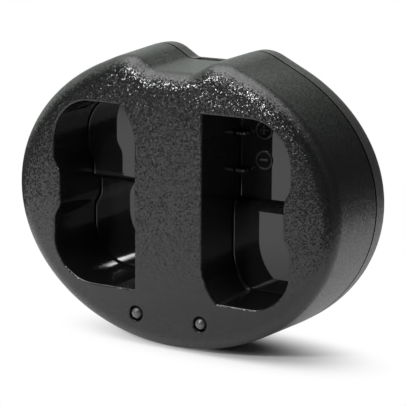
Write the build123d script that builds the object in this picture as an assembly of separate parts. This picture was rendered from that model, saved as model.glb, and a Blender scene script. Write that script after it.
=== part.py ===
from build123d import *
import os
from math import acos, cos, degrees, radians, sin

# Dual camera battery charger, standing on its rim. Millimetres, +Z up, the bays open towards -Y.
# Depths are measured back from the front face, x and height from the middle of that face.

# Oval body
half_width = 42.1          # at the front face
half_height = 33.9
draft_growth = 0.7         # the oval grows by this from the front face to the parting line
shell_depth = 18.7         # front face to parting line
cover_depth = 7.6          # parting line to back
parting_gap = 0.25
front_round = 3.6
cover_round = 4.5
face_wall = 2.2
shell_wall = 2.0
cover_wall = 1.8
rest_flat = 0.5            # cut off the rim's lowest point so that the charger stands

# Notch in the top of the rim and the humps beside it: pairs are for the front face and the parting line
notch_depth = 4.3          # below the oval's top
notch_slope = 31.5
valley_radius = 3.5
shoulder_reach = (18.5, 22.0)    # where the oval ends and runs on straight
crest_x = (11.4, 12.6)
crest_radius = (12.0, 8.0)       # outside the crest
hump_radius = 6.0                # inside it

# Battery bays: the right one is drawn, the left one is the same turned by half a turn
bay_inner = 8.9
bay_outer = 31.1
bay_waist = 29.45
bay_top = 21.2
bay_bottom = 21.4
bay_top_radius = 10.5
bay_bottom_radius = 9.8
waist_top = 2.7            # the waist's straight stretch
waist_bottom = -3.4
waist_blend = 4.8          # height of the curve from waist to bulge
cut_start = -12.0          # the curved lower inner corner
cut_end = 13.0
bay_draft = 0.5
mouth_round = 0.5
floor_round = 0.5          # between the floors and the walls
shallow_floor = 13.4
step_depth = 2.9
step_height = -0.1
step_nose = 2.35
tub_wall = 1.6

# Contact blades, two in the deep half of each bay
blade_heights = {"positive": 15.05, "negative": 6.5}
blade_start = 9.6
blade_width = 2.3
blade_thickness = 0.5
blade_tip = 13.6
blade_corner = 0.2
blade_tail_width = 1.0
slot_clearance = 0.15

# Circuit board and what holds it
board_setback = 2.25       # behind the parting line
board_thickness = 1.2
board_half_width = 15.5
board_drop = 2.4           # board's top below the notch's floor
board_rise = 5.3           # board's foot above the oval's lowest point
board_corner = 3.0
hole_clearance = 0.1
solder_length = 0.9

# Screws, bosses and posts
side_screw_x = 35.6
top_screw_height = 16.5
bottom_screw_rise = 6.9    # above the oval's lowest point
boss_radius = 3.0
screw_radius = 1.1
screw_bite = 7.0           # length of the screw in the boss
pilot_spare = 1.0
head_radius = 2.2
head_height = 1.3
head_recess = 0.3
head_clearance = 0.25
drive_length = 2.6
drive_width = 0.6
drive_depth = 0.6
clamp_clearance = 0.1

# Lip of the cover inside the shell
lip_clearance = 0.15
lip_wall = 1.0
lip_reach = 1.5
lip_root = 1.4

# Lamps
led_x = 8.55
led_rise = 7.1             # above the oval's lowest point
led_radius = 1.4
led_gap = 0.3              # between a lamp and its hole
led_proud = 0.5
led_flange_radius = 2.05
led_flange = 0.8
collar_wall = 1.0
collar_end = 4.4
lead_width = 0.5
lead_pitch = 2.54

# USB inlet
usb_width = 7.5
usb_thickness = 2.5
usb_length = 5.2
usb_sheet = 0.3
usb_chamfer = 0.7
usb_sunk = 0.5             # mouth below the notch's floor
usb_clearance = 0.3        # in front of and behind the inlet
usb_side_gap = 0.6
tongue_width = 4.6
tongue_thickness = 0.7
tongue_base = 1.2
tongue_sunk = 0.8
contact_count = 5
contact_width = 0.3
contact_pitch = 0.65
contact_thickness = 0.15

# Board parts: sizes are width, height and thickness, places are x and height
controller_size = (4.9, 3.9, 1.5)
controller_place = (10.8, -8.5)
controller_legs = 4
converter_size = (2.9, 1.7, 1.2)
converter_place = (-9.6, 20.0)
converter_legs = 3
inductor_size = 6.0
inductor_thickness = 2.6
inductor_place = (-5.0, 10.2)
inductor_corner = 1.2
core_radius = 2.0          # round core inside the inductor's ring gap
ring_gap = 0.5
ring_depth = 0.3
diode_size = (4.4, 2.6, 2.1)
diode_place = (5.4, 9.6)
input_capacitor_size = (3.2, 1.6, 1.5)
input_capacitor_place = (8.6, 21.2)
output_capacitor_size = (2.0, 3.2, 1.6)
output_capacitor_x = 5.0
output_capacitor_z = -4.0
resistor_size = (2.0, 1.2, 0.6)
resistor_x = 4.6
resistor_rows = (-10.5, -13.5, -16.5)
end_cap = 0.45
cap_proud = 0.08
leg_width = 0.42
leg_reach = 1.0
leg_thickness = 0.25

# Places that follow
full_depth = shell_depth + cover_depth
deep_floor = shallow_floor + step_depth
board_front = shell_depth + board_setback
notch_floor = half_height - notch_depth
board_top = notch_floor - board_drop
board_bottom = board_rise - half_height
bottom_screw_height = bottom_screw_rise - half_height
led_height = led_rise - half_height
cover_front = shell_depth + parting_gap
cover_inside = full_depth - cover_wall
front_y = (led_proud - full_depth) / 2
centre_z = half_height + draft_growth - rest_flat
board_back = board_front + board_thickness
post_end = board_back + clamp_clearance
head_seat = full_depth - head_recess - head_height
screw_end = board_front - screw_bite
usb_mouth = notch_floor + draft_growth - usb_sunk
usb_back = usb_mouth - usb_length
usb_front = board_front - usb_thickness
side_places = [(-side_screw_x, 0.0), (side_screw_x, 0.0)]
board_places = [(0.0, top_screw_height), (0.0, bottom_screw_height)]
led_places = {"left": -led_x, "right": led_x}


def face_plane(depth):
    return Plane(origin=(0, front_y + depth, centre_z), x_dir=(1, 0, 0), z_dir=(0, -1, 0))


def slab(sketch, start, end):
    return extrude(face_plane(start) * sketch, amount=start - end)


def rod(x, z, radius, start, end):
    return slab(Pos(x, z) * Circle(radius), start, end)


def block(x, z, width, height, start, end):
    return slab(Pos(x, z) * Rectangle(width, height), start, end)


def half_turn(shape):
    return shape.rotate(Axis((0, 0, centre_z), (0, 1, 0)), 180)


def write(node, shape):
    export_step(shape, os.path.join("parts", node + ".step"))


def oval_outline(grow):
    flare = min(1, max(0, grow / draft_growth))
    reach, top_x, outer = [front + flare * (rear - front) for front, rear in (shoulder_reach, crest_x, crest_radius)]
    a = half_width + grow
    b = half_height + grow
    floor = notch_floor + grow
    outer += grow
    hump = hump_radius + grow
    valley = valley_radius - grow
    turn = acos(reach / half_width)
    slope = radians(notch_slope)
    downhill = Vector(-cos(slope), -sin(slope))
    along = Vector(-a * sin(turn), b * cos(turn)).normalized()
    shoulder = Vector(a * cos(turn), b * sin(turn))
    bend = shoulder - along * ((shoulder.X - top_x - outer * along.Y) / along.X)
    crest = Vector(top_x, bend.Y + outer * (1 + along.X))
    flank_top = crest + Vector(-sin(slope), cos(slope) - 1) * hump
    foot_rise = valley * (1 - cos(slope))
    flank_foot = flank_top + downhill * ((flank_top.Y - floor - foot_rise) / sin(slope))
    floor_end = Vector(flank_foot.X - valley * sin(slope), floor)
    half = [
        Line(shoulder, bend),
        TangentArc(bend, crest, tangent=along),
        TangentArc(crest, flank_top, tangent=(-1, 0)),
        Line(flank_top, flank_foot),
        TangentArc(flank_foot, floor_end, tangent=downhill),
    ]
    rim = EllipticalCenterArc((0, 0), a, b, start_angle=180 - degrees(turn), arc_size=180 + 2 * degrees(turn))
    base = Line(floor_end, Vector(-floor_end.X, floor))
    return make_face([rim, base] + half + [mirror(edge, about=Plane.YZ) for edge in half])


def bay_outline(grow):
    inner = bay_inner - grow
    outer = bay_outer + grow
    waist = bay_waist + grow
    top = bay_top + grow
    bottom = -bay_bottom - grow
    top_radius = bay_top_radius + grow
    bottom_radius = bay_bottom_radius + grow
    upper = waist_top + waist_blend
    lower = waist_bottom - waist_blend
    edges = [
        Line((inner, cut_start), (inner, top)),
        Line((inner, top), (outer - top_radius, top)),
        TangentArc((outer - top_radius, top), (outer, top - top_radius), tangent=(1, 0)),
        Line((outer, top - top_radius), (outer, upper)),
        Spline((outer, upper), (waist, waist_top), tangents=[(0, -1), (0, -1)]),
        Line((waist, waist_top), (waist, waist_bottom)),
        Spline((waist, waist_bottom), (outer, lower), tangents=[(0, -1), (0, -1)]),
        Line((outer, lower), (outer, bottom + bottom_radius)),
        TangentArc((outer, bottom + bottom_radius), (outer - bottom_radius, bottom), tangent=(0, -1)),
        Line((outer - bottom_radius, bottom), (cut_end, bottom)),
        TangentArc((inner, cut_start), (cut_end, bottom), tangent=(0, -1)),
    ]
    return make_face(edges)


def side_slab(points, nose):
    profile = Polyline(*points, close=True)
    sketch = fillet(make_face(profile).vertices().sort_by(Axis.X)[:2].sort_by(Axis.Y)[-1:], nose)
    plane = Plane(origin=(0, front_y, centre_z), x_dir=(0, 1, 0), z_dir=(1, 0, 0))
    return extrude(plane * sketch, amount=half_width)


def bay_pocket():
    mouth = face_plane(0) * bay_outline(0)
    floor = face_plane(deep_floor) * bay_outline(-bay_draft)
    low = -half_height
    ledge = side_slab(
        [(shallow_floor, low), (shallow_floor, step_height), (full_depth, step_height), (full_depth, low)],
        step_nose)
    pocket = loft([mouth, floor], ruled=True) - ledge
    slack = floor_round / 10
    foot = pocket.edges().filter_by_position(Axis.Y, front_y + shallow_floor - slack, front_y + deep_floor + slack)
    step_z = centre_z + step_height
    across = foot.filter_by(Axis.X).filter_by_position(Axis.Z, step_z - step_nose - slack, step_z + slack)
    return fillet(foot - across, floor_round)


def bay_tub():
    tub = slab(bay_outline(tub_wall), face_wall / 2, deep_floor + tub_wall)
    spare = block(half_width / 2, step_height - tub_wall - half_height / 2, half_width, half_height,
                  shallow_floor + tub_wall, full_depth)
    return tub - spare


def blade_slots():
    width = blade_width + 2 * slot_clearance
    height = blade_thickness + 2 * slot_clearance
    middle = blade_start + blade_width / 2
    return [block(middle, z, width, height, shallow_floor, full_depth) for z in blade_heights.values()]


def usb_slot():
    width = usb_width + 2 * usb_side_gap
    return block(0, usb_back + half_height / 2, width, half_height,
                 usb_front - usb_clearance, board_front + usb_clearance)


def standing_cut():
    return Pos(0, 0, -half_height / 2) * Box(3 * half_width, 3 * full_depth, half_height)


def front_shell():
    blank = loft([face_plane(0) * oval_outline(0), face_plane(shell_depth) * oval_outline(draft_growth)], ruled=True)
    blank = fillet(blank.faces().sort_by(Axis.Y)[0].edges(), front_round)
    shell = blank - slab(oval_outline(-shell_wall), face_wall, full_depth)
    shell += [bay_tub(), half_turn(bay_tub())]
    shell += [rod(x, z, boss_radius, face_wall / 2, board_front) for x, z in side_places + board_places]
    hole = led_radius + led_gap
    shell += [rod(x, led_height, hole + collar_wall, face_wall / 2, collar_end) for x in led_places.values()]
    cuts = [bay_pocket(), half_turn(bay_pocket()), usb_slot(), standing_cut()]
    cuts += blade_slots() + [half_turn(slot) for slot in blade_slots()]
    cuts += [rod(x, led_height, hole, -1, collar_end) for x in led_places.values()]
    cuts += [rod(x, z, screw_radius, screw_end - pilot_spare, board_front) for x, z in side_places + board_places]
    shell -= cuts
    face = shell.faces().sort_by(Axis.Y)[0]
    return fillet([edge for wire in face.inner_wires() for edge in wire.edges()], mouth_round)


def rear_cover():
    body = slab(oval_outline(draft_growth), cover_front, full_depth)
    body = fillet(body.faces().sort_by(Axis.Y)[-1].edges(), cover_round)
    lip_outer = -shell_wall - lip_clearance
    body += slab(oval_outline(lip_outer), shell_depth - lip_reach, cover_front)
    hollow = slab(oval_outline(draft_growth - cover_wall), cover_front + lip_root, cover_inside)
    hollow = fillet(hollow.faces().sort_by(Axis.Y)[-1].edges(), cover_round - cover_wall)
    body -= hollow + slab(oval_outline(lip_outer - lip_wall), 0, cover_front + lip_root)
    body += [rod(x, z, boss_radius, board_front, cover_inside + cover_wall / 2) for x, z in side_places]
    body += [rod(x, z, boss_radius, post_end, cover_inside + cover_wall / 2) for x, z in board_places]
    places = side_places + board_places
    cuts = [usb_slot(), standing_cut()]
    cuts += [rod(x, z, screw_radius + hole_clearance, 0, full_depth) for x, z in places]
    cuts += [rod(x, z, head_radius + head_clearance, head_seat, full_depth + 1) for x, z in places]
    return body - cuts


def circuit_board():
    height = board_top - board_bottom
    board = slab(Pos(0, (board_top + board_bottom) / 2) * RectangleRounded(2 * board_half_width, height, board_corner),
                 board_front, board_back)
    cuts = [rod(x, z, screw_radius + hole_clearance, 0, full_depth) for x, z in board_places]
    tails = [block(blade_start + blade_width / 2, z, blade_tail_width + 2 * hole_clearance,
                   blade_thickness + 2 * hole_clearance, 0, full_depth) for z in blade_heights.values()]
    cuts += tails + [half_turn(tail) for tail in tails]
    for x in led_places.values():
        cuts += [block(x + side * lead_pitch / 2, led_height, lead_width + 2 * hole_clearance,
                       lead_width + 2 * hole_clearance, 0, full_depth) for side in (-1, 1)]
    return board - cuts


def contact_blade(height):
    middle = blade_start + blade_width / 2
    plate = block(middle, height, blade_width, blade_thickness, blade_tip, board_front)
    tip = plate.edges().filter_by(Axis.Z).sort_by(Axis.Y)[:2]
    plate = chamfer(tip, blade_corner)
    return plate + block(middle, height, blade_tail_width, blade_thickness, board_front, board_back + solder_length)


def lamp(x):
    base = collar_end
    body = rod(x, led_height, led_radius, led_radius - led_proud, base)
    dome = Pos(x, front_y + led_radius - led_proud, centre_z + led_height) * Sphere(led_radius)
    return body + dome + rod(x, led_height, led_flange_radius, base, base + led_flange)


def lamp_leads():
    leads = []
    for x in led_places.values():
        leads += [block(x + side * lead_pitch / 2, led_height, lead_width, lead_width,
                        collar_end + led_flange, board_back + solder_length) for side in (-1, 1)]
    return Compound(children=leads)


def usb_outline(inset):
    half = usb_width / 2 - inset
    thick = usb_thickness - inset
    narrow = half - usb_chamfer
    points = [(-half, inset), (half, inset), (half, thick - usb_chamfer), (narrow, thick),
              (-narrow, thick), (-half, thick - usb_chamfer)]
    return make_face(Polyline(*points, close=True))


def usb_column(sketch, low, high):
    plane = Plane(origin=(0, front_y + board_front, centre_z + low), x_dir=(-1, 0, 0), z_dir=(0, 0, 1))
    return extrude(plane * sketch, amount=high - low)


def usb_shell():
    return usb_column(usb_outline(0), usb_back, usb_mouth) - usb_column(usb_outline(usb_sheet), usb_back, usb_mouth)


def tongue_face():
    return usb_front + (usb_thickness - tongue_thickness) / 2


def usb_tongue():
    inner = usb_thickness - usb_sheet
    base = block(0, usb_back + tongue_base / 2, usb_width - 2 * usb_sheet - 2 * usb_chamfer, tongue_base,
                 tongue_face(), usb_front + inner)
    length = usb_length - tongue_sunk
    wafer = block(0, usb_back + length / 2, tongue_width, length, tongue_face(), tongue_face() + tongue_thickness)
    return base + wafer


def usb_contacts():
    length = usb_length - 2 * tongue_sunk
    first = -(contact_count - 1) / 2
    strips = []
    for place in range(contact_count):
        x = (first + place) * contact_pitch
        strip = block(x, usb_back + length / 2, contact_width, length,
                      tongue_face() - contact_thickness, tongue_face())
        tail = block(x, usb_back - contact_thickness / 2, contact_width, contact_thickness,
                     tongue_face() - contact_thickness, board_front)
        strips.append(strip + tail)
    return Compound(children=strips)


def chip(x, z, size, legs):
    width, height, thickness = size
    body = block(x, z, width, height, board_front - thickness, board_front - leg_thickness / 2)
    pitch = width / legs
    feet = []
    for place in range(legs):
        foot_x = x + (place - (legs - 1) / 2) * pitch
        feet.append(block(foot_x, z, leg_width, height + 2 * leg_reach, board_front - leg_thickness, board_front))
    return body + feet


def capped_block(x, z, size):
    width, height, thickness = size
    body = block(x, z, width, height, board_front - thickness, board_front)
    edge = width / 2 - end_cap / 2
    bands = [block(x + side * edge, z, end_cap, height + 2 * cap_proud, board_front - thickness, board_front)
             for side in (-1, 1)]
    return body + bands


def power_inductor():
    x, z = inductor_place
    can = slab(Pos(x, z) * RectangleRounded(inductor_size, inductor_size, inductor_corner),
               board_front - inductor_thickness, board_front)
    ring_end = board_front - inductor_thickness + ring_depth
    return can - (rod(x, z, core_radius + ring_gap, 0, ring_end) - rod(x, z, core_radius, 0, ring_end))


def rectifier_diode():
    x, z = diode_place
    width, height, thickness = diode_size
    body = block(x, z, width, height, board_front - thickness, board_front - leg_thickness / 2)
    tab = block(x, z, width + 2 * leg_reach, height / 2, board_front - leg_thickness, board_front)
    return body + tab


def cover_screws():
    screws = []
    for x, z in side_places + board_places:
        shank = rod(x, z, screw_radius - hole_clearance / 2, screw_end, head_seat)
        head = rod(x, z, head_radius, head_seat, head_seat + head_height)
        top = head_seat + head_height
        cross = (block(x, z, drive_length, drive_width, top - drive_depth, top)
                 + block(x, z, drive_width, drive_length, top - drive_depth, top))
        screws.append(shank + head - cross)
    return Compound(children=screws)


os.makedirs("parts", exist_ok=True)
write("front_shell", front_shell())
write("rear_cover", rear_cover())
write("circuit_board", circuit_board())
for name, height in blade_heights.items():
    write(f"right_{name}_blade", contact_blade(height))
    write(f"left_{name}_blade", half_turn(contact_blade(height)))
for side, x in led_places.items():
    write(f"led_{side}", lamp(x))
write("led_leads", lamp_leads())
write("charge_controller_right", chip(*controller_place, controller_size, controller_legs))
write("charge_controller_left", half_turn(chip(*controller_place, controller_size, controller_legs)))
write("usb_shell", usb_shell())
write("usb_tongue", usb_tongue())
write("usb_contacts", usb_contacts())
write("boost_converter", chip(*converter_place, converter_size, converter_legs))
write("power_inductor", power_inductor())
write("rectifier_diode", rectifier_diode())
write("input_capacitor", capped_block(*input_capacitor_place, input_capacitor_size))
write("output_capacitors", Compound(children=[
    capped_block(side * output_capacitor_x, output_capacitor_z, output_capacitor_size) for side in (-1, 1)]))
write("sense_resistors", Compound(children=[
    capped_block(side * resistor_x, z, resistor_size) for z in resistor_rows for side in (-1, 1)]))
write("cover_screws", cover_screws())
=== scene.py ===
import bmesh
import bpy
from mathutils import Matrix, Vector


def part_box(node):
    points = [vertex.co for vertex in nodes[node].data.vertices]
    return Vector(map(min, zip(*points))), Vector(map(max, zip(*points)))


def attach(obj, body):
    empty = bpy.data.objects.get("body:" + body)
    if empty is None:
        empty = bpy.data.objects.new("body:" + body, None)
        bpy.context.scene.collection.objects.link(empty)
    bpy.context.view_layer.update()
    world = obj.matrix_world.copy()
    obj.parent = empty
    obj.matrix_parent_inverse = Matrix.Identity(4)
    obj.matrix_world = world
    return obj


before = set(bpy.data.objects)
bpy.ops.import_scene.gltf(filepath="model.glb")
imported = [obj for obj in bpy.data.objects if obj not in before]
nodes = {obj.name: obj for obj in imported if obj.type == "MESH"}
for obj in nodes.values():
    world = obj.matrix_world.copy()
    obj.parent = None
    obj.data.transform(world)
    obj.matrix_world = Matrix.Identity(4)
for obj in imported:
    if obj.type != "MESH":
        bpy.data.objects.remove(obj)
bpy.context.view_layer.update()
print("frame loaded,", len(nodes), "nodes")

mm = 0.001


def middleOf(node):
    low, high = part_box(node)
    return (low + high) / 2


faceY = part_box("front_shell")[0].y
# the blades of the two bays are half a turn apart about the middle of the front face
faceZ = (middleOf("right_positive_blade").z + middleOf("left_positive_blade").z) / 2


class Wire:
    # a socket that can be used in plain sums
    def __init__(self, finish, socket):
        self.finish = finish
        self.socket = socket

    def maths(self, operation, first, second=0.0):
        return self.finish.add("ShaderNodeMath", {"operation": operation}, {0: first, 1: second})

    def __add__(self, other):
        return self.maths("ADD", self, other)

    def __sub__(self, other):
        return self.maths("SUBTRACT", self, other)

    def __rsub__(self, other):
        return self.maths("SUBTRACT", other, self)

    def __mul__(self, other):
        return self.maths("MULTIPLY", self, other)

    def __gt__(self, other):
        return self.maths("GREATER_THAN", self, other)

    def __lt__(self, other):
        return self.maths("LESS_THAN", self, other)

    def __abs__(self):
        return self.maths("ABSOLUTE", self)

    __radd__ = __add__
    __rmul__ = __mul__


class Finish:
    # the nodes of a material, or of the world, where place is a direction
    def __init__(self, owner, place="Object"):
        owner.use_nodes = True
        self.owner = owner
        self.tree = owner.node_tree
        self.tree.nodes.clear()
        self.place = self.add("ShaderNodeTexCoord", {}, {}, place)

    def add(self, kind, settings, sockets, output=0):
        node = self.tree.nodes.new(kind)
        for key, value in settings.items():
            setattr(node, key, value)
        for key, value in sockets.items():
            if isinstance(value, Wire):
                self.tree.links.new(value.socket, node.inputs[key])
            else:
                node.inputs[key].default_value = value
        return Wire(self, node.outputs[output])

    def split(self, vector):
        parts = self.add("ShaderNodeSeparateXYZ", {}, {0: vector}).socket.node
        return [Wire(self, output) for output in parts.outputs]

    def join(self, x, y, z):
        return self.add("ShaderNodeCombineXYZ", {}, {"X": x, "Y": y, "Z": z})

    def vector(self, operation, sockets, output=0):
        return self.add("ShaderNodeVectorMath", {"operation": operation}, sockets, output)

    def length(self, vector):
        return self.vector("LENGTH", {0: vector}, "Value")

    def outward(self):
        return self.add("ShaderNodeNewGeometry", {}, {}, "Normal")

    def noise(self, size, detail=2.0, roughness=0.5):
        return self.add("ShaderNodeTexNoise", {}, {
            "Vector": self.place, "Scale": 1 / size, "Detail": detail, "Roughness": roughness})

    def step(self, value, start, end):
        return self.add("ShaderNodeMapRange", {"interpolation_type": "SMOOTHSTEP"}, {
            "Value": value, "From Min": start, "From Max": end, "To Min": 0.0, "To Max": 1.0})

    def tint(self, factor, first, second):
        return self.add("ShaderNodeMix", {"data_type": "RGBA"}, {0: factor, 6: first, 7: second}, 2)

    def oval(self, middle, along, half):
        # distance from the middle of an oval on the floor, 1 at its rim
        x, y, z = self.split(self.place)
        east = x - middle[0]
        north = y - middle[1]
        length = (east * along[0] + north * along[1]) * (1 / half[0])
        width = (east * along[1] - north * along[0]) * (1 / half[1])
        return self.length(self.join(length, width, 0.0))

    def facets(self, size, tilt, bend=(0, 0, 0)):
        # every grain cell leans its own way
        cells = self.add("ShaderNodeTexVoronoi", {}, {"Vector": self.place, "Scale": 1 / size}, "Color")
        lean = self.vector("SUBTRACT", {0: cells, 1: (0.5, 0.5, 0.5)})
        lean = self.vector("SCALE", {0: lean, "Scale": tilt})
        lean = self.vector("ADD", {0: lean, 1: bend})
        return self.vector("NORMALIZE", {0: self.vector("ADD", {0: self.outward(), 1: lean})})

    def bump(self, height, depth, strength):
        return self.add("ShaderNodeBump", {}, {"Height": height, "Distance": depth, "Strength": strength})

    def surface(self, sockets):
        return self.close(self.add("ShaderNodeBsdfPrincipled", {}, sockets))

    def gapShaded(self, sockets, gap, dark):
        # a surface painted with black shade where gap is 1, standing in for the shade inside a narrow gap
        plain = self.add("ShaderNodeBsdfPrincipled", {}, sockets)
        shaded = self.add("ShaderNodeBsdfDiffuse", {}, {"Color": dark})
        return self.close(self.add("ShaderNodeMixShader", {}, {0: gap, 1: plain, 2: shaded}))

    def close(self, shader, kind="ShaderNodeOutputMaterial"):
        out = self.tree.nodes.new(kind)
        self.tree.links.new(shader.socket, out.inputs["Surface"])
        return self.owner


def newFinish(name):
    return Finish(bpy.data.materials.new(name))


def newPiece(name, mesh, material):
    data = bpy.data.meshes.new(name)
    mesh.to_mesh(data)
    mesh.free()
    data.materials.append(material)
    piece = bpy.data.objects.new(name, data)
    bpy.context.scene.collection.objects.link(piece)
    return piece


# Front shell: grained outside, polished inside the bays; depths are measured from the front face

shell = {
    "black": (0.005, 0.0055, 0.0052, 1),
    "paleBlack": (0.008, 0.0088, 0.0083, 1),
    "polish": (0.006, 0.006, 0.0062, 1),
    "cloud": (9 * mm, 3.0),
    "smudge": (6 * mm, 4.0),
    "smudgeRoughness": 0.02,
    "grain": 0.24 * mm,
    "crown": (0.3, 0.26),        # the face is shaded as if it bulged a little towards its rim
    "ovalHalf": (42.8 * mm, 33.8 * mm),
    "frontTilt": 0.43,
    "sideTilt": 0.2,
    "calmTilt": 0.75,            # share of the front tilt left at the foot of the face
    "calmZ": (-32 * mm, 30 * mm),
    "index": 1.69,
    "frontRoughness": 0.25,
    "sideRoughness": 0.4,
    "wallRoughness": 0.13,
    "floorRoughness": 0.02,
    "shallowFloor": 13.4 * mm,
    "deepFloor": 16.3 * mm,
    "floorSlack": 0.04 * mm,
    "floorRound": 0.5 * mm,
    "bayX": 20.0 * mm,           # middle of a bay, its half width and height, and its cut corners
    "bayHalfWidth": 11.75 * mm,
    "bayHalfHeight": 21.95 * mm,
    "bayCorner": 26.8 * mm,
    "mouthDepth": 0.1 * mm,
    "frontEnd": (0.5 * mm, 1.4 * mm),
    # the shell's back edge at these depths is painted black, as the shade inside the parting gap
    "seam": (18.5 * mm, 18.58 * mm),
    "paintedGapShade": (0.002, 0.002, 0.002, 1),
}


def shellFinish():
    finish = newFinish("shellPlastic")
    x, y, z = finish.split(finish.place)
    depth = y - faceY
    height = z - faceZ
    across = abs(abs(x) - shell["bayX"])
    upright = abs(height)
    inside = (across < shell["bayHalfWidth"]) * (upright < shell["bayHalfHeight"])
    inside = inside * (across + upright < shell["bayCorner"]) * (depth > shell["mouthDepth"])
    outside = 1 - inside
    front = 1 - finish.step(depth, *shell["frontEnd"])

    black = finish.tint(finish.noise(*shell["cloud"]), shell["black"], shell["paleBlack"])
    colour = finish.tint(inside, black, shell["polish"])

    # a bay's floor is deep in one half of its height and shallow in the other
    deep = (x * height > 0) * (shell["deepFloor"] - shell["shallowFloor"])
    above = deep + shell["shallowFloor"] - depth
    flat = above < shell["floorSlack"]
    corner = (above < shell["floorRound"]) - flat
    grained = front * (shell["frontRoughness"] - shell["sideRoughness"]) + shell["sideRoughness"]
    polished = flat * (shell["floorRoughness"] - shell["wallRoughness"]) + shell["wallRoughness"]
    smudge = finish.noise(*shell["smudge"]) * shell["smudgeRoughness"]
    roughness = grained * outside + (smudge + polished) * inside

    lively = finish.step(height, *shell["calmZ"]) * (1 - shell["calmTilt"]) + shell["calmTilt"]
    tilt = front * lively * shell["frontTilt"] + (1 - front) * shell["sideTilt"]
    east = x * (1 / shell["ovalHalf"][0])
    north = height * (1 / shell["ovalHalf"][1])
    rise = (east * east + north * north) * front * outside
    # the round between wall and floor is shaded like the wall
    level = finish.split(finish.outward())[1] * corner * inside * -1
    bend = finish.join(east * rise * shell["crown"][0], level, north * rise * shell["crown"][1])
    normal = finish.facets(shell["grain"], tilt * outside, bend)

    sockets = {"Base Color": colour, "Roughness": roughness, "Normal": normal, "IOR": shell["index"]}
    # painted shade: the back edge of the shell turns black, standing in for the shade inside the parting
    # gap
    return finish.gapShaded(sockets, finish.step(depth, *shell["seam"]), shell["paintedGapShade"])


# Rear cover: fine grain, and painted shade of the parting gap along its front edge

cover = {
    "black": (0.036, 0.0356, 0.0345, 1),
    "paleBlack": (0.046, 0.0455, 0.0442, 1),
    "cloud": (8 * mm, 3.0),
    "fleck": 1.2 * mm,
    "fleckRoughness": 0.12,
    "grain": 0.28 * mm,
    "tilt": 0.2,
    "roughness": 0.39,
    "index": 1.8,
    # the cover's front edge at these depths is painted black, as the shade inside the parting gap
    "seam": (19.05 * mm, 19.13 * mm),
}


def coverFinish():
    finish = newFinish("coverPlastic")
    x, y, z = finish.split(finish.place)
    colour = finish.tint(finish.noise(*cover["cloud"]), cover["black"], cover["paleBlack"])
    roughness = finish.noise(cover["fleck"]) * cover["fleckRoughness"] + cover["roughness"]
    normal = finish.facets(cover["grain"], cover["tilt"])
    sockets = {"Base Color": colour, "Roughness": roughness, "Normal": normal, "IOR": cover["index"]}
    # painted shade: the front edge of the cover turns black, standing in for the shade inside the parting
    # gap
    return finish.gapShaded(sockets, 1 - finish.step(y - faceY, *cover["seam"]), shell["paintedGapShade"])


# Polarity signs: raised rings with a plus or a minus on the deep floor of each bay

sign = {
    "sunk": 0.05 * mm,
    "proud": 0.3 * mm,
    "ringRadius": 2.2 * mm,
    "ringWidth": 0.4 * mm,
    "ringSegments": 64,
    "barLength": 2.2 * mm,
    "barWidth": 0.5 * mm,
    "edge": 0.12 * mm,
    "sharpAngle": 1.0,
    "black": (0.008, 0.008, 0.0085, 1),
    "paleBlack": (0.012, 0.012, 0.0125, 1),
    "smudge": (3 * mm, 3.0),
    "smudgeRoughness": 0.1,
    "roughness": 0.28,
    "places": {"positive": (15.6 * mm, 16.0 * mm), "negative": (15.65 * mm, 9.0 * mm)},
}


def signFinish():
    finish = newFinish("signPlastic")
    smudge = finish.noise(*sign["smudge"])
    colour = finish.tint(smudge, sign["black"], sign["paleBlack"])
    roughness = smudge * sign["smudgeRoughness"] + sign["roughness"]
    return finish.surface({"Base Color": colour, "Roughness": roughness, "IOR": shell["index"]})


def ringAndBars(mesh, bars):
    thick = sign["proud"] + sign["sunk"]
    for radius in (sign["ringRadius"], sign["ringRadius"] - sign["ringWidth"]):
        bmesh.ops.create_circle(mesh, segments=sign["ringSegments"], radius=radius)
    faces = bmesh.ops.bridge_loops(mesh, edges=mesh.edges[:])["faces"]
    raised = bmesh.ops.extrude_face_region(mesh, geom=faces)["geom"]
    lifted = [item for item in raised if isinstance(item, bmesh.types.BMVert)]
    bmesh.ops.translate(mesh, vec=(0, 0, thick), verts=lifted)
    for width, height in bars:
        cube = bmesh.ops.create_cube(mesh, size=1.0)["verts"]
        bmesh.ops.scale(mesh, vec=(width, height, thick), verts=cube)
        bmesh.ops.translate(mesh, vec=(0, 0, thick / 2), verts=cube)
    bmesh.ops.recalc_face_normals(mesh, faces=mesh.faces[:])
    sharp = [edge for edge in mesh.edges if edge.calc_face_angle(0) > sign["sharpAngle"]]
    rims = [edge for edge in sharp if min(vert.co.z for vert in edge.verts) > thick / 2]
    bmesh.ops.bevel(mesh, geom=rims, offset=sign["edge"], offset_type="OFFSET", affect="EDGES", segments=3,
                    profile=0.5, material=-1)


def signPiece(side, name, bars):
    mesh = bmesh.new()
    ringAndBars(mesh, bars)
    x, z = sign["places"][name]
    # the left bay is the right one turned by half a turn
    turn = 1 if side == "right" else -1
    floorY = faceY + shell["deepFloor"] + sign["sunk"]
    stand = Matrix((
        (turn, 0, 0, turn * x),
        (0, 0, -1, floorY),
        (0, turn, 0, faceZ + turn * z),
        (0, 0, 0, 1),
    ))
    bmesh.ops.transform(mesh, matrix=stand, verts=mesh.verts[:])
    piece = newPiece(f"{side}_{name}_sign", mesh, signPlastic)
    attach(piece, "root")


# Metals

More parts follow.
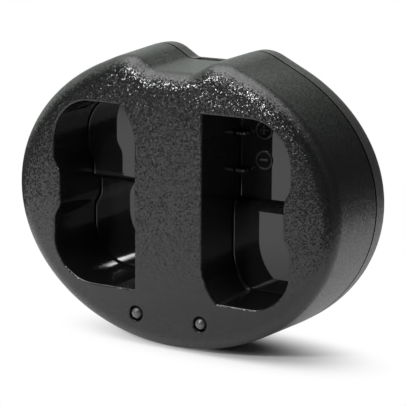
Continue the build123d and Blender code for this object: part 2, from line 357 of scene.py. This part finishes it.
metals = {
    "contactMetal": {"bright": (0.74, 0.73, 0.7, 1), "dull": (0.6, 0.59, 0.56, 1), "roughness": 0.2},
    "tinnedWire": {"bright": (0.68, 0.68, 0.67, 1), "dull": (0.56, 0.56, 0.56, 1), "roughness": 0.32},
    "inletMetal": {"bright": (0.7, 0.7, 0.71, 1), "dull": (0.58, 0.58, 0.6, 1), "roughness": 0.25},
    "screwMetal": {"bright": (0.16, 0.16, 0.17, 1), "dull": (0.11, 0.11, 0.12, 1), "roughness": 0.38},
}
metalWear = {
    "stain": (0.9 * mm, 4.0),
    "stainRoughness": 0.12,
    "scratch": 0.12 * mm,
    "scratchDepth": 0.004 * mm,
    "scratchStrength": 0.4,
}


def metalFinish(name):
    finish = newFinish(name)
    stain = finish.noise(*metalWear["stain"])
    scratch = finish.noise(metalWear["scratch"])
    colour = finish.tint(stain, metals[name]["bright"], metals[name]["dull"])
    roughness = stain * metalWear["stainRoughness"] + metals[name]["roughness"]
    normal = finish.bump(scratch, metalWear["scratchDepth"], metalWear["scratchStrength"])
    return finish.surface({"Base Color": colour, "Metallic": 1.0, "Normal": normal, "Roughness": roughness})


# Plain moulded plastics inside

plastics = {
    "inletPlastic": {
        "dark": (0.03, 0.03, 0.034, 1),
        "pale": (0.05, 0.05, 0.055, 1),
        "roughness": 0.43,
        "grain": 0.3 * mm,
    },
    "chipPlastic": {
        "dark": (0.035, 0.035, 0.038, 1),
        "pale": (0.055, 0.055, 0.06, 1),
        "roughness": 0.48,
        "grain": 0.2 * mm,
    },
    "ferrite": {
        "dark": (0.1, 0.1, 0.11, 1),
        "pale": (0.15, 0.15, 0.155, 1),
        "roughness": 0.63,
        "grain": 0.15 * mm,
    },
}
plasticGrain = {"detail": 4.0, "softness": 0.6, "roughness": 0.15, "depth": 0.02 * mm, "strength": 0.5}


def plasticFinish(name):
    finish = newFinish(name)
    speck = finish.noise(plastics[name]["grain"], plasticGrain["detail"], plasticGrain["softness"])
    colour = finish.tint(speck, plastics[name]["dark"], plastics[name]["pale"])
    roughness = speck * plasticGrain["roughness"] + plastics[name]["roughness"]
    normal = finish.bump(speck, plasticGrain["depth"], plasticGrain["strength"])
    return finish.surface({"Base Color": colour, "Roughness": roughness, "Normal": normal})


# Lamps: clear domes with a pale cup inside

lamp = {
    "rim": (0.045, 0.0455, 0.044, 1),
    "cup": (0.1, 0.102, 0.098, 1),
    "cupRadius": 0.5 * mm,
    "rimRadius": 1.4 * mm,
    "frost": (0.5 * mm, 3.0),
    "frostRoughness": 0.08,
    "roughness": 0.16,
    "coatRoughness": 0.05,
}


def lampFinish(node):
    finish = newFinish(node + "Clear")
    middle = middleOf(node)
    x, y, z = finish.split(finish.place)
    reach = finish.length(finish.join(x - middle.x, 0.0, z - middle.z))
    colour = finish.tint(finish.step(reach, lamp["cupRadius"], lamp["rimRadius"]), lamp["cup"], lamp["rim"])
    roughness = finish.noise(*lamp["frost"]) * lamp["frostRoughness"] + lamp["roughness"]
    return finish.surface({"Base Color": colour, "Roughness": roughness,
                           "Coat Weight": 1.0, "Coat Roughness": lamp["coatRoughness"]})


# Circuit board: green mask over copper tracks

board = {
    "mask": (0.012, 0.11, 0.045, 1),
    "track": (0.03, 0.2, 0.08, 1),
    "pitch": 1.7 * mm,
    "maskShare": 0.62,
    "wander": (7 * mm, 1.0),
    "wanderReach": 4 * mm,
    "trackHeight": 0.03 * mm,
    "trackStrength": 0.5,
    "cloud": 2 * mm,
    "cloudRoughness": 0.1,
    "roughness": 0.28,
}


def boardFinish():
    finish = newFinish("boardLaminate")
    x, y, z = finish.split(finish.place)
    bent = x + finish.noise(*board["wander"]) * board["wanderReach"]
    phase = finish.add("ShaderNodeMath", {"operation": "PINGPONG"}, {0: bent, 1: board["pitch"]})
    track = phase > board["pitch"] * board["maskShare"]
    colour = finish.tint(track, board["mask"], board["track"])
    roughness = finish.noise(board["cloud"]) * board["cloudRoughness"] + board["roughness"]
    normal = finish.bump(track, board["trackHeight"], board["trackStrength"])
    return finish.surface({"Base Color": colour, "Roughness": roughness, "Normal": normal})


# Small capped parts: body between two tinned ends

capped = {
    "input_capacitor": {"body": (0.36, 0.25, 0.15, 1), "middle": 8.6 * mm, "half": 1.15 * mm},
    "output_capacitors": {"body": (0.36, 0.25, 0.15, 1), "middle": 5.0 * mm, "half": 0.55 * mm},
    "sense_resistors": {"body": (0.02, 0.02, 0.022, 1), "middle": 4.6 * mm, "half": 0.55 * mm},
}
cap = {"tin": (0.68, 0.68, 0.67, 1), "speck": (0.25 * mm, 3.0), "speckRoughness": 0.15, "roughness": 0.35}


def cappedFinish(node):
    finish = newFinish(node + "Finish")
    x, y, z = finish.split(finish.place)
    end = abs(abs(x) - capped[node]["middle"]) > capped[node]["half"]
    colour = finish.tint(end, capped[node]["body"], cap["tin"])
    roughness = finish.noise(*cap["speck"]) * cap["speckRoughness"] + cap["roughness"]
    return finish.surface({"Base Color": colour, "Metallic": end, "Roughness": roughness})


signPlastic = signFinish()
metal = {name: metalFinish(name) for name in metals}
plastic = {name: plasticFinish(name) for name in plastics}

worn = {
    "front_shell": shellFinish(),
    "rear_cover": coverFinish(),
    "circuit_board": boardFinish(),
    "right_positive_blade": metal["contactMetal"],
    "right_negative_blade": metal["contactMetal"],
    "left_positive_blade": metal["contactMetal"],
    "left_negative_blade": metal["contactMetal"],
    "led_left": lampFinish("led_left"),
    "led_right": lampFinish("led_right"),
    "led_leads": metal["tinnedWire"],
    "usb_shell": metal["inletMetal"],
    "usb_tongue": plastic["inletPlastic"],
    "usb_contacts": metal["contactMetal"],
    "charge_controller_left": plastic["chipPlastic"],
    "charge_controller_right": plastic["chipPlastic"],
    "boost_converter": plastic["chipPlastic"],
    "power_inductor": plastic["ferrite"],
    "rectifier_diode": plastic["chipPlastic"],
    "input_capacitor": cappedFinish("input_capacitor"),
    "output_capacitors": cappedFinish("output_capacitors"),
    "sense_resistors": cappedFinish("sense_resistors"),
    "cover_screws": metal["screwMetal"],
}
for node, material in worn.items():
    nodes[node].data.materials.clear()
    nodes[node].data.materials.append(material)
print("finishes on", len(worn), "nodes")

barLong = (sign["barLength"], sign["barWidth"])
barTall = (sign["barWidth"], sign["barLength"])
for side in ("right", "left"):
    signPiece(side, "positive", [barLong, barTall])
    signPiece(side, "negative", [barLong])
print("polarity signs made")


# Floor: white, keeps the shadow near the charger

floor = {
    "radius": 4.0,
    "height": 0.0,
    "colour": (0.93, 0.93, 0.93, 1),
    "white": (1, 1, 1, 1),
    "shadowMiddle": (8 * mm, -2 * mm),
    "shadowAlong": (1, 0),
    "shadowHalf": (35 * mm, 14 * mm),
    "shadowEnd": (0.25, 1.35),
}


def floorFinish():
    finish = newFinish("whiteFloor")
    rays = finish.add("ShaderNodeLightPath", {}, {}).socket.node.outputs
    seen = Wire(finish, rays["Is Camera Ray"]) + Wire(finish, rays["Is Glossy Ray"])
    seen = seen + Wire(finish, rays["Is Transmission Ray"])
    reach = finish.oval(floor["shadowMiddle"], floor["shadowAlong"], floor["shadowHalf"])
    far = finish.step(reach, *floor["shadowEnd"])
    paper = finish.add("ShaderNodeBsdfDiffuse", {}, {"Color": floor["colour"]})
    glow = finish.add("ShaderNodeEmission", {}, {"Color": floor["white"], "Strength": 1.0})
    return finish.close(finish.add("ShaderNodeMixShader", {}, {0: far * (seen > 0.5), 1: paper, 2: glow}))


# Painted shade seen only in reflections: a dark sheet over the floor, darker beyond the lit oval, with a
# painted shadow in front of the charger

surround = {
    "radius": 3.0,
    "height": 0.5 * mm,
    "shadeBlack": (0.02, 0.02, 0.02, 1),
    "middle": (-0.048, -0.064),  # of the lit oval, with its long axis and its half axes
    "along": (0.6, 0.8),
    "half": (0.25, 0.1),
    "ramp": (0.78, 1.3),
    "shade": 0.93,
    "foot": (0.02, -0.03),       # shaded oval in front of the charger
    "footAlong": (1, 0),
    "footHalf": (0.12, 0.08),
    "footRamp": (0.0, 1.0),
    "footShade": 0.42,
}


def surroundFinish():
    finish = newFinish("paintedShadeSheet")
    lit = finish.oval(surround["middle"], surround["along"], surround["half"])
    foot = finish.oval(surround["foot"], surround["footAlong"], surround["footHalf"])
    near = 1 - finish.step(foot, *surround["footRamp"])
    # painted shade: darker beyond the lit oval, and a painted shadow over the foot oval in front of the
    # charger
    dark = finish.step(lit, *surround["ramp"]) * surround["shade"] + near * surround["footShade"]
    clear = finish.add("ShaderNodeBsdfTransparent", {}, {})
    shadeBlack = finish.add("ShaderNodeBsdfDiffuse", {}, {"Color": surround["shadeBlack"]})
    return finish.close(finish.add("ShaderNodeMixShader", {}, {0: dark, 1: clear, 2: shadeBlack}))


def discPiece(name, radius, height, material):
    mesh = bmesh.new()
    disc = bmesh.ops.create_circle(mesh, cap_ends=True, segments=96, radius=radius)["verts"]
    bmesh.ops.translate(mesh, vec=(0, 0, height), verts=disc)
    piece = newPiece(name, mesh, material)
    return piece


discPiece("floor", floor["radius"], floor["height"], floorFinish())
shade = discPiece("surround", surround["radius"], surround["height"], surroundFinish())
shade.visible_camera = False
shade.visible_diffuse = False
shade.visible_shadow = False
print("floor laid")


# Studio lights

softboxes = {
    "ceiling": {"at": (-0.15, -0.12, 1.0), "size": (1.0, 1.0), "watts": 11.0},
    "key": {"at": (-0.159, -0.489, 0.343), "size": (0.075, 0.075), "watts": 1.6},
}
aim = Vector((0, 0, faceZ))
for name, box in softboxes.items():
    light = bpy.data.lights.new(name, "AREA")
    light.shape = "RECTANGLE"
    light.size, light.size_y = box["size"]
    light.energy = box["watts"]
    holder = bpy.data.objects.new(name, light)
    holder.location = box["at"]
    holder.rotation_euler = (aim - holder.location).to_track_quat("-Z", "Y").to_euler()
    bpy.context.scene.collection.objects.link(holder)

# the wall behind on the left is bright, the rest of the room is dim
room = {
    "wall": (-0.74, 0.62, 0.27),
    "spread": (0.45, 1.0),
    "wallLight": 0.87,
    "tint": (0.93, 1.0, 0.93, 1),
    "dim": 0.04,
}


def roomLight():
    finish = Finish(bpy.data.worlds.new("room"), "Generated")
    facing = finish.vector("DOT_PRODUCT", {0: finish.place, 1: room["wall"]}, "Value")
    strength = finish.step(facing, *room["spread"]) * room["wallLight"] + room["dim"]
    light = finish.add("ShaderNodeBackground", {}, {"Color": room["tint"], "Strength": strength})
    return finish.close(light, "ShaderNodeOutputWorld")


bpy.context.scene.world = roomLight()


# Camera, placed from the middle of the front face

view = {
    "fromFace": (0.22095, -0.35283, 0.09231),
    "right": (0.85679, 0.51562, 0.00654),
    "up": (-0.11679, 0.18168, 0.97640),
    "back": (0.50226, -0.83733, 0.21589),
    "focalPixels": 1900,
    "imagePixels": 406,
    "sensor": 36.0,
    "clipStart": 0.01,
}
camera = bpy.data.cameras.new("photoCamera")
camera.sensor_width = view["sensor"]
camera.lens = view["focalPixels"] / view["imagePixels"] * view["sensor"]
camera.clip_start = view["clipStart"]
eye = bpy.data.objects.new("photoCamera", camera)
turned = Matrix((view["right"], view["up"], view["back"])).transposed().to_4x4()
eye.matrix_world = Matrix.Translation(Vector((0, faceY, faceZ)) + Vector(view["fromFace"])) @ turned
bpy.context.scene.collection.objects.link(eye)
bpy.context.scene.camera = eye
bpy.context.scene.view_settings.view_transform = "Standard"
print("lamps and camera set")
